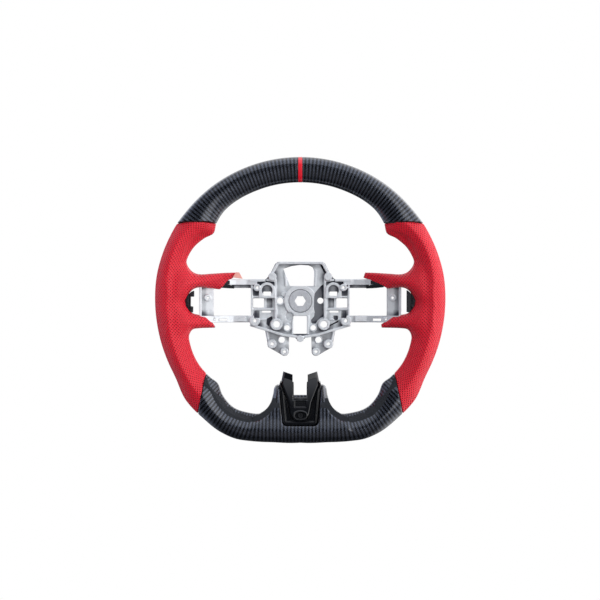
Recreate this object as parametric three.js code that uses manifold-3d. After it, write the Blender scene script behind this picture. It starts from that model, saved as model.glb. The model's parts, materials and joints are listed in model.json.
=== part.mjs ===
// A bare sports steering wheel: die-cast hub and spoke frame, steel rim core, foam, perforated
// leather grips, carbon-fibre rim sections and a two-prong trim on the flat bottom.
// Millimetres. The wheel stands upright in the XZ plane, its front faces -Y, and the column runs
// along +Y from the origin, which is the centre of the hub's rear seat.
import * as THREE from "three";
import { mergeVertices } from "three/addons/utils/BufferGeometryUtils.js";
import Module from "manifold-3d";

const wasm = await Module();
wasm.setup();

// ---------------------------------------------------------------- driving dimensions
const GAP = 0.3; // clearance between touching pieces
const RIM_Y = -45; // middle plane of the rim, in front of the hub seat
const RIM_DEPTH = 34; // rim section, front to back
const LEATHER = 1.2; // leather thickness
const CARBON = 1.7; // carbon skin thickness
const CORE_RADIUS = 168; // centre line of the steel rim core
const CORE_TUBE = 5.5; // its tube radius
const CORE_FLAT_Z = -163; // where the core runs straight along the flat bottom
const TOP_JOINT_Z = 98.8; // carbon meets leather on this level
const LOWER_JOINT = { x: 125.5, z: -119.6, lean: 0.206 }; // a point on the joint, dx per -dz
const STRIPE_HALF = 2.6; // half width of the centre stripe
const STRIPE_DEPTH = 0.8; // how deep the stripe sits in the carbon
const RING_STEP = 5; // degrees between rim sections
const FAR = 400; // reach of a cutting block

// Rim outline by angle from 12 o'clock: angle in degrees, outer radius, inner radius.
const RIM_OUTLINE = [
  [0, 183.7, 151.5], [20, 184, 151.6], [38, 184.6, 151], [47, 184.8, 146],
  [52, 185, 141.5], [57, 185.6, 147], [64, 185, 153], [72, 185, 153.5],
  [80, 185, 151], [90, 185, 147.5], [100, 185, 148.5], [108, 185.3, 149.8],
  [115, 185.7, 152], [122, 187, 152.6], [130, 192.8, 150.6], [135, 194, 150],
  [140, 194.2, 155], [146, 195.5, 159.6], [150, 195.5, 159.8], [155, 194, 157],
  [160, 190, 153.5], [165, 186.2, 150], [170, 183.2, 147.2], [180, 180.8, 145],
];

// Spoke arms: flat at the hub, then forward to the rim.
const ARM = { startX: 70, endX: 158, hubY: -10, thick: 11 };
const WEB = { front: -10, back: -4 }; // the frame's flat web around the hub
const UPPER_ARM = { bottom: 20.9, top: 28.3 };
const LOWER_ARM = { bottom: -27.6, top: -19 };

// Grip tails over the spokes: distance from the centre, lower edge, upper edge, half depth.
const UPPER_TAIL = [
  [76, 13, 36.6, 10], [95, 14.5, 36.2, 10.5], [112, 16, 35.4, 12], [129, 18, 34.6, 13.5],
  [137, 14, 37, 14.5], [143, 8, 44, 15.5], [152, 0, 52, 16],
];
const LOWER_TAIL = [
  [104, -34.5, -18.5, 9.5], [120, -34.6, -19.5, 11], [130, -35, -17.8, 12.5],
  [138, -36.5, -15.2, 14], [144, -42, -10, 15.5], [152, -54, 0, 16],
];

// ---------------------------------------------------------------- solids
function solidOf(geometry) {
  const bare = geometry.clone();
  bare.deleteAttribute("normal");
  bare.deleteAttribute("uv");
  const merged = mergeVertices(bare, 1e-4);
  const mesh = new wasm.Mesh({
    numProp: 3,
    vertProperties: merged.attributes.position.array,
    triVerts: new Uint32Array(merged.index.array),
  });
  return new wasm.Manifold(mesh);
}

function geometryOf(solid) {
  const mesh = solid.getMesh();
  const geometry = new THREE.BufferGeometry();
  geometry.setAttribute("position", new THREE.BufferAttribute(mesh.vertProperties, 3));
  geometry.setIndex(new THREE.BufferAttribute(mesh.triVerts, 1));
  geometry.computeVertexNormals();
  return geometry;
}

const join = (solids) => solids.reduce((all, solid) => all.add(solid));
const cut = (solid, cutters) => cutters.reduce((rest, cutter) => rest.subtract(cutter), solid);
const mirrorX = (solid) => solid.mirror([1, 0, 0]);
const bothSides = (solid) => solid.add(mirrorX(solid));

function block(x0, x1, y0, y1, z0, z1) {
  const box = new THREE.BoxGeometry(x1 - x0, y1 - y0, z1 - z0);
  return solidOf(box.translate((x0 + x1) / 2, (y0 + y1) / 2, (z0 + z1) / 2));
}

// A round post along Y, centred on (x, z); its back radius may differ from its front radius.
function post(x, z, radius, yFront, yBack, backRadius = radius, sides = 14) {
  const cylinder = new THREE.CylinderGeometry(backRadius, radius, yBack - yFront, sides);
  return solidOf(cylinder.translate(x, (yFront + yBack) / 2, z));
}

const outline = (points) => new THREE.Shape(points.map(([u, v]) => new THREE.Vector2(u, v)));

// A front-view outline (x, z), drawn point by point, as thick as yFront to yBack.
function plate(points, yFront, yBack) {
  const shape = points instanceof THREE.Shape ? points : outline(points);
  const settings = { depth: yBack - yFront, bevelEnabled: false, curveSegments: 8 };
  const body = new THREE.ExtrudeGeometry(shape, settings);
  return solidOf(body.rotateX(Math.PI / 2).translate(0, yBack, 0));
}

// The same for an outline that is drawn for the right half and mirrored.
function evenPlate(rightHalf, yFront, yBack) {
  const leftHalf = rightHalf.filter(([x]) => x > 0).map(([x, z]) => [-x, z]);
  return plate([...rightHalf, ...leftHalf.reverse()], yFront, yBack);
}

// A top-view outline (x, y) as tall as z0 to z1.
function column(points, z0, z1) {
  const settings = { depth: z1 - z0, bevelEnabled: false };
  const body = new THREE.ExtrudeGeometry(outline(points), settings);
  return solidOf(body.translate(0, 0, z0));
}

// A side-view outline (y, z) as wide as x0 to x1.
function beam(points, x0, x1) {
  const settings = { depth: x1 - x0, bevelEnabled: false };
  const body = new THREE.ExtrudeGeometry(outline(points), settings);
  const sideways = new THREE.Matrix4().set(0, 0, 1, x0, 1, 0, 0, 0, 0, 1, 0, 0, 0, 0, 0, 1);
  return solidOf(body.applyMatrix4(sideways));
}

// Skins a row of sections that all have the same number of points; an open row gets end caps.
function loft(sections, closed = false) {
  const sides = sections[0].length;
  const rows = closed ? sections.length : sections.length - 1;
  const faces = [];
  for (let row = 0; row < rows; row++) {
    const next = (row + 1) % sections.length;
    for (let side = 0; side < sides; side++) {
      const turn = (side + 1) % sides;
      const [a, b] = [row * sides + side, row * sides + turn];
      const [c, d] = [next * sides + side, next * sides + turn];
      faces.push(a, b, c, b, d, c);
    }
  }
  const last = (sections.length - 1) * sides;
  for (let side = 1; side < sides - 1 && !closed; side++) {
    faces.push(0, side + 1, side);
    faces.push(last, last + side, last + side + 1);
  }
  const geometry = new THREE.BufferGeometry().setFromPoints(sections.flat());
  geometry.setIndex(faces);
  const solid = solidOf(geometry);
  if (solid.volume() > 0) return solid;
  geometry.setIndex(faces.reverse());
  return solidOf(geometry);
}

// A round thread or tube along a smooth path.
function tube(points, radius, steps, sides = 6) {
  const path = new THREE.CatmullRomCurve3(points);
  const section = new THREE.Shape();
  for (let side = 0; side <= sides; side++) {
    const phi = (2 * Math.PI * side) / sides;
    const place = [radius * Math.cos(phi), radius * Math.sin(phi)];
    if (side === 0) section.moveTo(...place);
    else section.lineTo(...place);
  }
  return solidOf(new THREE.ExtrudeGeometry(section, { steps, extrudePath: path }));
}

// ---------------------------------------------------------------- curves of the rim and spokes
const smooth = (t) => {
  const clamped = THREE.MathUtils.clamp(t, 0, 1);
  return clamped * clamped * (3 - 2 * clamped);
};

// Smooth values between the rows of a table, whose first column is the place.
function along(table, place) {
  const last = table.length - 1;
  let row = 0;
  while (row < last - 1 && place > table[row + 1][0]) row++;
  const before = table[Math.max(row - 1, 0)];
  const [from, to] = [table[row], table[row + 1]];
  const after = table[Math.min(row + 2, last)];
  const span = to[0] - from[0];
  const t = THREE.MathUtils.clamp((place - from[0]) / span, 0, 1);
  const [t2, t3] = [t * t, t * t * t];
  return from.slice(1).map((start, index) => {
    const key = index + 1;
    const slopeIn = (to[key] - before[key]) / (to[0] - before[0]);
    const slopeOut = (after[key] - start) / (after[0] - from[0]);
    const ends = (2 * t3 - 3 * t2 + 1) * start + (3 * t2 - 2 * t3) * to[key];
    return ends + (t3 - 2 * t2 + t) * span * slopeIn + (t3 - t2) * span * slopeOut;
  });
}

const spokeY = (x) =>
  ARM.hubY + (RIM_Y - ARM.hubY) * smooth((Math.abs(x) - ARM.startX) / (ARM.endX - ARM.startX));

// A rounded, slightly square outline: half sizes a and b, and how square it is.
function squircle(a, b, sides, power = 2.3) {
  const shape = (value) => Math.sign(value) * Math.abs(value) ** (2 / power);
  return Array.from({ length: sides }, (_, side) => {
    const phi = (2 * Math.PI * (side + 0.5)) / sides;
    return [a * shape(Math.cos(phi)), b * shape(Math.sin(phi))];
  });
}

function rimSection(angle, offset, sides) {
  const [outer, inner] = along(RIM_OUTLINE, angle > 180 ? 360 - angle : angle);
  const turn = THREE.MathUtils.degToRad(angle);
  const middle = (outer + inner) / 2;
  const half = (outer - inner) / 2 + offset;
  return squircle(half, RIM_DEPTH / 2 + offset, sides).map(([out, depth]) => {
    const radius = middle + out;
    return new THREE.Vector3(radius * Math.sin(turn), RIM_Y + depth, radius * Math.cos(turn));
  });
}

// The rim between two angles, grown or shrunk by an offset.
function rimSolid(offset, from, to, sides = 10) {
  const steps = Math.round((to - from) / RING_STEP);
  const angles = Array.from({ length: steps + 1 }, (_, i) => from + ((to - from) * i) / steps);
  return loft(angles.map((angle) => rimSection(angle, offset, sides)));
}

// A grip tail over the right spoke, grown or shrunk by an offset.
function tailSolid(table, offset, sides = 10) {
  const [start, end] = [table[0][0], table[table.length - 1][0]];
  const steps = 9;
  const sections = Array.from({ length: steps + 1 }, (_, i) => {
    const x = THREE.MathUtils.lerp(start, end, i / steps);
    const [low, high, deep] = along(table, x);
    const half = (high - low) / 2 + offset;
    return squircle(half, deep + offset, sides, 3).map(
      ([up, depth]) => new THREE.Vector3(x, spokeY(x) + depth, (low + high) / 2 + up),
    );
  });
  return loft(sections);
}

// ---------------------------------------------------------------- rim core
// Round over the top and straight along the flat bottom, one closed steel ring.
function coreSolid(clearance) {
  const corner = Math.acos(CORE_FLAT_Z / CORE_RADIUS);
  const arcSteps = 56;
  const places = Array.from({ length: arcSteps + 1 }, (_, i) => {
    const turn = -corner + (2 * corner * i) / arcSteps;
    return [CORE_RADIUS * Math.sin(turn), CORE_RADIUS * Math.cos(turn), turn];
  });
  const flatHalf = CORE_RADIUS * Math.sin(corner);
  places.push([flatHalf / 3, CORE_FLAT_Z, Math.PI], [-flatHalf / 3, CORE_FLAT_Z, Math.PI]);
  const sides = 8;
  const radius = CORE_TUBE + clearance;
  const sections = places.map(([x, z, turn]) =>
    Array.from({ length: sides }, (_, side) => {
      const phi = (2 * Math.PI * (side + 0.5)) / sides;
      const out = radius * Math.cos(phi);
      const y = RIM_Y + radius * Math.sin(phi);
      return new THREE.Vector3(x + out * Math.sin(turn), y, z + out * Math.cos(turn));
    }),
  );
  return loft(sections, true);
}

// ---------------------------------------------------------------- die-cast frame
// One arm of the right spoke, as a band that follows the spoke's depth.
function armSolid({ bottom, top }, clearance = 0, from = 56, to = 166) {
  const steps = 8;
  const places = Array.from({ length: steps + 1 }, (_, i) => from + ((to - from) * i) / steps);
  const half = ARM.thick / 2 + clearance;
  const front = places.map((x) => [x, spokeY(x) - half]);
  const back = places.map((x) => [x, spokeY(x) + half]).reverse();
  return column([...front, ...back], bottom - clearance, top + clearance);
}

// The lug at an arm's end that clasps the steel core.
function lugSolid({ bottom, top }, clearance = 0) {
  const reach = 9 + clearance;
  const middle = (bottom + top) / 2;
  const x = Math.sqrt(CORE_RADIUS ** 2 - middle ** 2);
  const low = bottom - 3 - clearance;
  const high = top + 3 + clearance;
  return block(x - reach, x + reach, RIM_Y - reach, RIM_Y + reach, low, high);
}

// The upright plate between the arms, with its outer flange.
function sidePlate(clearance) {
  const [low, high] = [-20 - clearance, 21.5 + clearance];
  const face = block(111.5 - clearance, 127, -29 - clearance, -25 + clearance, low, high);
  const flange = [126.5 - clearance, 129.5 + clearance, -37 - clearance, -25 + clearance];
  return face.add(block(...flange, low, high));
}

function hubHalfOutline() {
  return [
    [0, 51], [29, 51], [32.5, 48.5], [40, 33], [45, 28.3], [64, 28.3], [64, -19], [64, -30],
    [52, -34.5], [46, -36.5], [41.5, -60], [37, -62.5], [24, -70], [18, -70.6], [14.8, -66.5],
    [14.5, -46], [8, -47], [4.6, -49.5], [3.6, -52], [0, -53],
  ];
}

const SEAT_RADIUS = 15.3; // bore in the casting for the steel insert
const BORE_RADIUS = 8.5; // bore behind it for the insert's spigot
const SOCKET_CORNERS = 14.6; // the insert's hexagonal socket, across its corners

// Ribs of the frame's right half: start, end, half width, front.
const RIBS = [
  [[32, 29], [32, -22], 1.4, -15], [[31.5, 26], [44, 27.5], 1.4, -15],
  [[33, 5.5], [64, 5.5], 1.2, -14], [[33, -10.5], [64, -10.5], 1.2, -14],
  [[62.8, 27], [62.8, -28], 1.2, -15], [[65, -31], [38, -39], 1.6, -16],
  [[38, -39], [22, -44], 1.6, -16], [[22, -44], [0, -47], 1.6, -16],
  [[29, 49.3], [-1, 49.3], 1.6, -16], [[29, 49.3], [38, 33], 1.6, -16],
  [[45, 26.7], [66, 26.7], 1.6, -16], [[50.6, 5.5], [50.6, -10.5], 0.9, -12],
  [[44, -35], [40, -59], 1.2, -12], [[20, 40], [18.6, 19.5], 1.1, -13],
  [[10, -19], [10, -43], 1.1, -13], [[38, -24], [56, -24], 1, -12],
];

// Shallow pockets in the web's face, each where the die has a core: points of its outline.
const POCKETS = [
  [[30.4, 22], [26.9, 19.6], [22.8, 14.7], [18.7, 9.9], [17.5, 1.7], [17.5, -9.7],
    [18.7, -14.6], [17.9, -20], [13.8, -25], [14.6, -29], [20, -29.5], [22.8, -25],
    [26.5, -22], [30.4, -20.5]],
  [[26, 46.8], [28.4, 46.8], [33.2, 36.4], [31, 37]],
  [[37, -33.4], [38.2, -31.4], [50.2, -24.8], [49.4, -27.4]],
  [[43, -19], [49, -19], [49, -24], [46, -25.5], [43.5, -24]],
  [[-36.4, -19.5], [-43.5, -23], [-44, -30], [-40.5, -33.6], [-38.8, -27], [-36, -23.6]],
];
const POCKET_FLOOR = -5.9;

// Round bosses of the right half: x, z, radius, front, hole radius (0 is blind).
const BOSSES = [
  [36, 31.5, 5, -20, 0], [56, 17.5, 4.6, -19, 2], [59, -25.7, 6.5, -19, 2.4],
  [30.7, -30.2, 7.6, -18, 4.5], [36.5, -55.7, 5.8, -18, 2.4], [20.5, -65.8, 5, -17, 2.2],
  [26.2, 0.4, 5.6, -13, 4], [23.8, -50.4, 5.2, -12, 4], [17, -34.7, 5, -12, 3.5],
];

function ribSolid([[x0, z0], [x1, z1], half, front], back = WEB.back - 1) {
  const length = Math.hypot(x1 - x0, z1 - z0);
  const rib = new THREE.BoxGeometry(length, back - front, 2 * half);
  rib.rotateY(-Math.atan2(z1 - z0, x1 - x0));
  return solidOf(rib.translate((x0 + x1) / 2, (front + back) / 2, (z0 + z1) / 2));
}

function slantedWindow() {
  const edge = [[-22, 42], [-11, 45.5], [0, 47], [11, 46.3], [16, 44], [18.3, 39], [17.5, 19.5],
    [-13.5, 19.5], [-17, 30]];
  return plate(edge, -40, 20);
}

function castFrame() {
  const web = evenPlate(hubHalfOutline(), WEB.front, WEB.back);
  const ribs = RIBS.map((rib) => ribSolid(rib));
  const bosses = BOSSES.map(([x, z, radius, front]) => post(x, z, radius, front, -4, radius + 0.8));
  const arches = [post(43, 13.8, 10.5, -16, -5, 10.5, 24), block(32.5, 53.5, -16, -5, 4, 13.8)];
  const arms = [armSolid(UPPER_ARM), armSolid(LOWER_ARM), lugSolid(UPPER_ARM), lugSolid(LOWER_ARM)];
  const ledge = column([[60, -6], [60, -10], [78, -11], [89, -14], [89, -10], [78, -7]], 16.9, 21);
  const screwRing = post(119, 4.2, 4.3, -31, -27);
  const armBlock = block(70.7, 93, -19, -9, -26.6, -20);
  const right = join([...ribs, ...bosses, ...arches, ...arms, sidePlate(0), ledge, screwRing,
    armBlock]);
  const centre = [
    post(0, 0, 21, -14, 0, 19, 32),
    post(0, -48.7, 4.4, -17, -5),
    post(-21, 9.3, 3.6, -12, -5),
  ];
  const backRibs = [
    [[16, 8], [50, 24]], [[17, -6], [56, -20]], [[12, -16], [34, -44]],
  ].map(([start, end]) => ribSolid([start, end, 1.5, -6], -1));
  const body = join([web, bothSides(join([right, ...backRibs])), ...centre]);
  const holes = BOSSES.filter(([, , , , hole]) => hole > 0).map(([x, z, , , hole]) =>
    post(x, z, hole, -60, 30),
  );
  const rightCuts = join([
    ...holes,
    post(43, 13.8, 7, -60, -9.5, 7, 20),
    block(37.8, 48.2, -60, 30, 6.8, 12.3),
    block(47, 61.4, -60, 30, -8.6, 3.6),
    block(36, 44, -60, -7.5, -8.6, 3.6),
    block(38, 50, -60, 30, -15.2, -12.6),
    block(53, 60, -60, -8, -22, -12.6),
    post(119, 4.2, 1.7, -60, 30),
    post(110.6, -23.6, 1.4, -60, 30),
    block(94, 105, -60, 30, -25.8, -22.6),
  ]);
  const centreCuts = [
    slantedWindow(),
    block(-9, 8.6, -60, 30, -42.6, -19.4),
    post(0, 0, SEAT_RADIUS, -60, -2, SEAT_RADIUS, 28),
    post(0, 0, BORE_RADIUS, -60, 30, BORE_RADIUS, 24),
    post(-14, -20, 6, -60, -8.6),
    ...POCKETS.map((points) => plate(points, -60, POCKET_FLOOR)),
    coreSolid(GAP),
  ];
  return cut(body, [bothSides(rightCuts), ...centreCuts]);
}

// The steel insert in the hub, with the hexagonal socket for the column bolt.
function hubInsert() {
  const discRadius = SEAT_RADIUS - 0.4;
  const spigotRadius = BORE_RADIUS - 0.4;
  const disc = post(0, 0, discRadius, -14.6, -2.4, discRadius, 28);
  const spigot = post(0, 0, spigotRadius, -3, 0, spigotRadius, 24);
  const socket = post(0, 0, SOCKET_CORNERS / 2, -40, 20, SOCKET_CORNERS / 2, 6);
  const groove = cut(post(0, 0, 15.4, -16, -13.9, 15.4, 28), [post(0, 0, 14.2, -17, 0, 14.2, 28)]);
  const turned = socket.rotate([0, 30, 0]);
  return cut(disc.add(spigot), [turned, groove]);
}

// ---------------------------------------------------------------- lower trim
// Middle depth of the lower spoke trim: level with the rim, leaning back towards the hub above it.
const LOW_SPOKE = [[-31, -86], [-37, -108], [-45, -132], [-49, -165]];

function lowBand(front, back) {
  const points = LOW_SPOKE.map(([y, z]) => [y - front, z]);
  const returnPoints = LOW_SPOKE.map(([y, z]) => [y + back, z]).reverse();
  return beam([...points, ...returnPoints], -60, 60);
}

// The U-shaped trim frame's outline, grown by an offset.
function frameOutline(offset) {
  const corner = 3.5;
  return [
    [0, -158.2 - offset], [19.5 - corner / 2 + offset, -158.2 - offset],
    [22.3 + offset, -154.5 - offset], [22.6 + offset, -148], [27 + offset, -106], [25, -100],
    [0, -100],
  ];
}

function bracketOutline(offset) {
  return [
    [0, -152.4 - offset], [8 + offset, -152.4 - offset], [11.8 + offset, -150],
    [13.2 + offset, -144], [15.9 + offset, -129.6], [24.6 + offset, -108], [25 + offset, -105],
    [21.3 + offset, -90.2], [8.1, -94.6], [0, -94.6],
  ];
}

// The slot between the bracket's prongs, which is open to the back of the wheel.
const SLOT_HALF = 8.3;
const SLOT_END = -122.6;
const slotCutter = () => block(-SLOT_HALF, SLOT_HALF, -90, 20, SLOT_END, -80);

function trimFrame() {
  const shape = evenPlate(frameOutline(0), -90, 20).intersect(lowBand(12, 3));
  const opening = evenPlate(bracketOutline(GAP), -90, 20);
  const bridge = evenPlate(frameOutline(-1), -90, 20).intersect(lowBand(-0.5, 3));
  const floor = cut(bridge, [block(-60, 60, -90, 20, SLOT_END, -60)]);
  return cut(shape, [opening]).add(floor).subtract(coreSolid(GAP));
}

function trimBracket() {
  const shape = evenPlate(bracketOutline(0), -90, 20).intersect(lowBand(9, -0.9));
  const thinProngs = evenPlate([[0, -112], [40, -104], [40, -70], [0, -70]], -90, 20);
  const lifted = lowBand(40, -4).subtract(lowBand(5.5, -5));
  const pocket = block(-7, 7, -90, -47, -135.4, -126.6);
  const recess = post(0, 0, 4.4, -90, -52.5).scale([1.66, 1, 1]).translate([0, 0, -145.7]);
  return cut(shape, [slotCutter(), thinProngs.intersect(lifted), pocket, recess]);
}

// A pan-head screw at the bottom of the bracket's oval recess.
function trimScrew() {
  const head = post(0, -145.7, 3.4, -54.6, -52.8, 3.4, 16);
  const slot = block(-0.5, 0.5, -60, -54, -148.2, -143.2);
  return cut(head, [slot, block(-2.5, 2.5, -60, -54, -146.2, -145.2)]);
}

// ---------------------------------------------------------------- rim coverings
// Everything below the leather-carbon joint at the flat bottom, pushed out by a gap.
function bottomZone(push) {
  const edge = (z) => LOWER_JOINT.x + (LOWER_JOINT.z - z) * LOWER_JOINT.lean + push;
  const half = [[0, -80], [edge(-84), -84], [edge(-210), -210], [0, -210]];
  return evenPlate(half, -FAR, FAR);
}

const topZone = (z) => block(-FAR, FAR, -FAR, FAR, z, FAR);

// The carbon section's raised middle, with a horn on each side of the trim.
function hornSolid(offset) {
  const edge = new THREE.Shape();
  edge.moveTo(0, -170);
  edge.lineTo(66, -170);
  edge.lineTo(66, -145 + offset);
  edge.quadraticCurveTo(48, -144 + offset, 42 + offset, -134);
  edge.quadraticCurveTo(36.5 + offset, -125, 34 + offset, -109 + offset);
  edge.lineTo(29, -107 + offset);
  edge.lineTo(24, -108 + offset);
  edge.lineTo(0, -108 + offset);
  const right = plate(edge, -90, 20);
  return bothSides(right).intersect(lowBand(13 + offset, 11 + offset));
}

// A groove around the top of the carbon for the stripe.
const stripeZone = (half) => block(-half, half, -FAR, FAR, 0, FAR);

function stripeRing() {
  const ring = rimSolid(0.1, -10, 10).subtract(rimSolid(GAP - STRIPE_DEPTH, -15, 15));
  return ring.intersect(stripeZone(STRIPE_HALF));
}

function carbonTop() {
  const skin = rimSolid(0, -60, 60);
  const groove = rimSolid(2, -15, 15).subtract(rimSolid(-STRIPE_DEPTH, -20, 20));
  const hollow = rimSolid(-CARBON, -65, 65);
  const shell = cut(skin, [groove.intersect(stripeZone(STRIPE_HALF + GAP)), hollow]);
  return shell.intersect(topZone(TOP_JOINT_Z + GAP / 2));
}

function carbonBottom() {
  const skin = rimSolid(0, 125, 235).add(hornSolid(0));
  const hollow = rimSolid(-CARBON, 120, 240).add(hornSolid(-CARBON));
  const pocket = evenPlate(frameOutline(GAP), -90, 20).intersect(lowBand(40, 3 + GAP));
  return cut(skin, [hollow, pocket, slotCutter()]).intersect(bottomZone(-GAP / 2));
}

const spokeCuts = () => join([
  armSolid(UPPER_ARM, GAP), armSolid(LOWER_ARM, GAP),
  lugSolid(UPPER_ARM, GAP), lugSolid(LOWER_ARM, GAP),
  sidePlate(GAP),
]);

function foamTop() {
  const offset = -CARBON - GAP;
  const body = rimSolid(offset, -60, 60).subtract(coreSolid(GAP));
  return body.intersect(topZone(TOP_JOINT_Z + GAP / 2));
}

function foamBottom() {
  const offset = -CARBON - GAP;
  const body = rimSolid(offset, 125, 235).add(hornSolid(offset));
  const pocket = evenPlate(frameOutline(2), -90, 20).intersect(lowBand(40, 5));
  const openTop = block(-60, 60, -90, 20, SLOT_END - 1, -60);
  return cut(body, [coreSolid(GAP), pocket, openTop]).intersect(bottomZone(-GAP / 2));
}

// Slanted cut across the upper tail, and the shorter one across the lower tail.
function tailEnds(reach) {
  const upper = [[60, 45], [82.8 - reach, 45], [83.2 - reach, 37], [104.6 - reach, 14.8],
    [104.6 - reach, 0], [60, 0]];
  const lower = [[60, -10], [113 - reach, -10], [120.5 - reach, -21.8], [109.8 - reach, -34],
    [109.8 - reach, -45], [60, -45]];
  return plate(upper, -FAR, FAR).add(plate(lower, -FAR, FAR));
}

// The whole outer form of the right grip, grown or shrunk by an offset.
function gripSolid(offset) {
  const rim = rimSolid(offset, 50, 145);
  const tails = join([tailSolid(UPPER_TAIL, offset), tailSolid(LOWER_TAIL, offset)]);
  return rim.add(tails);
}

function leatherRight() {
  const outer = gripSolid(0).subtract(tailEnds(0));
  const shell = outer.subtract(gripSolid(-LEATHER));
  return cut(shell, [topZone(TOP_JOINT_Z - GAP / 2), bottomZone(GAP / 2), spokeCuts()]);
}

function foamRight() {
  const body = gripSolid(-LEATHER - 1.5 * GAP).subtract(tailEnds(7));
  const cutters = [topZone(TOP_JOINT_Z - GAP / 2), bottomZone(GAP / 2), coreSolid(GAP),
    spokeCuts(), block(0, 84.5, -FAR, FAR, 0, 60)];
  return cut(body, cutters);
}

// The corner of the upper left tail that folds over and shows the leather's underside.
function flapSolid() {
  const corner = [[-87.2, 30.6], [-82.9, 37.3], [-78.7, 36.9], [-74.1, 28.6]];
  return plate(corner, -22.8, -21.7);
}

// ---------------------------------------------------------------- stitching and window strips
// Thread along the inner circumference of the right grip, between two angles.
function threadSolid(from, to) {
  const radius = 0.6;
  const steps = Math.round((to - from) / 4);
  const points = Array.from({ length: steps + 1 }, (_, i) => {
    const angle = from + ((to - from) * i) / steps;
    const [, inner] = along(RIM_OUTLINE, angle);
    const turn = THREE.MathUtils.degToRad(angle);
    const reach = inner - 2 * GAP - radius;
    return new THREE.Vector3(reach * Math.sin(turn), RIM_Y + 2, reach * Math.cos(turn));
  });
  return tube(points, radius, 2 * steps);
}

// The strip that holds the leather's edge in the left spoke window: a bar between two tabs,
// with a root that runs under the leather. The right window's strip is filled in between its tabs.
function linerStrip(filled) {
  const [front, back] = [-48, -42];
  const bar = block(filled ? 135.8 : 138.4, 141.5, front, back, -8.5, 8.5);
  const upperTab = block(135.2, 138.8, front, back, 5.5, 11.5);
  const lowerTab = block(136.2, 138.8, front, back, -13, -7);
  const root = block(141, 146.6, -46.5, -43, -2.5, 2.5);
  return join([bar, root, upperTab, lowerTab]);
}

// ---------------------------------------------------------------- the assembly
const wheel = new THREE.Group();

function addPiece(name, solid, color, roughness, metalness) {
  const material = new THREE.MeshStandardMaterial({ color, roughness, metalness });
  const mesh = new THREE.Mesh(geometryOf(solid), material);
  mesh.name = name;
  wheel.add(mesh);
}

const CAST = ["#c6c8cc", 0.42, 0.9];
const STEEL = ["#b9bbbd", 0.35, 1];
const FOAM = ["#1b1c1f", 0.8, 0];
const LEATHER_RED = ["#c4202f", 0.5, 0];
const WEAVE = ["#101215", 0.18, 0];
const LEATHER_BACK = ["#eaa79a", 0.8, 0];
const THREAD = ["#d3253a", 0.7, 0];
const GLOSS_BLACK = ["#0b0c0e", 0.15, 0];

addPiece("armature_casting", castFrame(), ...CAST);
addPiece("hub_insert", hubInsert(), ...STEEL);
addPiece("rim_core", coreSolid(0), ...STEEL);
addPiece("foam_core_top", foamTop(), ...FOAM);
addPiece("foam_core_bottom", foamBottom(), ...FOAM);
addPiece("carbon_rim_top", carbonTop(), ...WEAVE);
addPiece("carbon_rim_bottom", carbonBottom(), ...WEAVE);
addPiece("centre_stripe", stripeRing(), ...THREAD);
addPiece("trim_frame", trimFrame(), ...GLOSS_BLACK);
addPiece("trim_bracket", trimBracket(), ...GLOSS_BLACK);
addPiece("trim_screw", trimScrew(), ...STEEL);
for (const [side, place] of [["right", (solid) => solid], ["left", mirrorX]]) {
  addPiece(`foam_grip_${side}`, place(foamRight()), ...FOAM);
  addPiece(`leather_grip_${side}`, place(leatherRight()), ...LEATHER_RED);
  addPiece(`seam_thread_upper_${side}`, place(threadSolid(60, 72)), ...THREAD);
  addPiece(`seam_thread_lower_${side}`, place(threadSolid(107, 133)), ...THREAD);
  addPiece(`window_liner_${side}`, place(linerStrip(side === "right")), ...FOAM);
}
addPiece("leather_flap_left", flapSolid(), ...LEATHER_BACK);

export default wheel;
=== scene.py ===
"""The looks of a bare flat-bottomed sports steering wheel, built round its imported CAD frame.

Shapes are worked out in millimetres as distance fields on a grid, meshed, and scaled to metres.
X is to the driver's right, Z is up, and the wheel's front faces -Y.
"""
import json
import math

import bpy
import numpy as np
import openvdb
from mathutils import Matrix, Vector
from mathutils.bvhtree import BVHTree


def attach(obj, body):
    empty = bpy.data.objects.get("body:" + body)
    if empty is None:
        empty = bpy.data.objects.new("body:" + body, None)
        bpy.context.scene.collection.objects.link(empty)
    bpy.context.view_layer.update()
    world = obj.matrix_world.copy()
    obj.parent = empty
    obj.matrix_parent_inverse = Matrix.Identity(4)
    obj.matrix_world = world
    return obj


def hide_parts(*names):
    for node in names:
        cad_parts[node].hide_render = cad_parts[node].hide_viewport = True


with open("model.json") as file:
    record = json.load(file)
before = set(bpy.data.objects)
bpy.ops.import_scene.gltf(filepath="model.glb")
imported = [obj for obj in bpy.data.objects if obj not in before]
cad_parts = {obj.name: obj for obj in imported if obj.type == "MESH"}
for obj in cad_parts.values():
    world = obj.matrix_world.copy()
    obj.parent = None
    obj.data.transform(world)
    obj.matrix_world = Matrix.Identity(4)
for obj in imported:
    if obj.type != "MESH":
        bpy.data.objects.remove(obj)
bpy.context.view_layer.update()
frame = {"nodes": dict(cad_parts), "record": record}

MM = 0.001
RIM_Y = -45.0          # middle plane of the rim
RIM_DEPTH = 34.0       # rim section, front to back
TOP_JOINT_Z = 98.8     # carbon meets leather on this level
LOWER_JOINT = (125.5, -119.6, 0.206)   # x, z of a point on the lower joint, and its lean
JOINT_GAP = 0.25       # half the gap between leather and carbon
STRIPE_HALF = 2.6      # half width of the centre stripe
STRIPE_DEPTH = 0.45    # how deep the stripe's groove is
STRIPE_THICKNESS = 0.8
LEATHER = 2.2          # thickness of the grips' skin
FOAM_GAP = 0.15        # between the foam and the leather
FINE = 0.7      # grid step of the rim pieces
TRIM_STEP = 0.35
CASTING_STEP = 0.5      # the casting's remeshing

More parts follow.
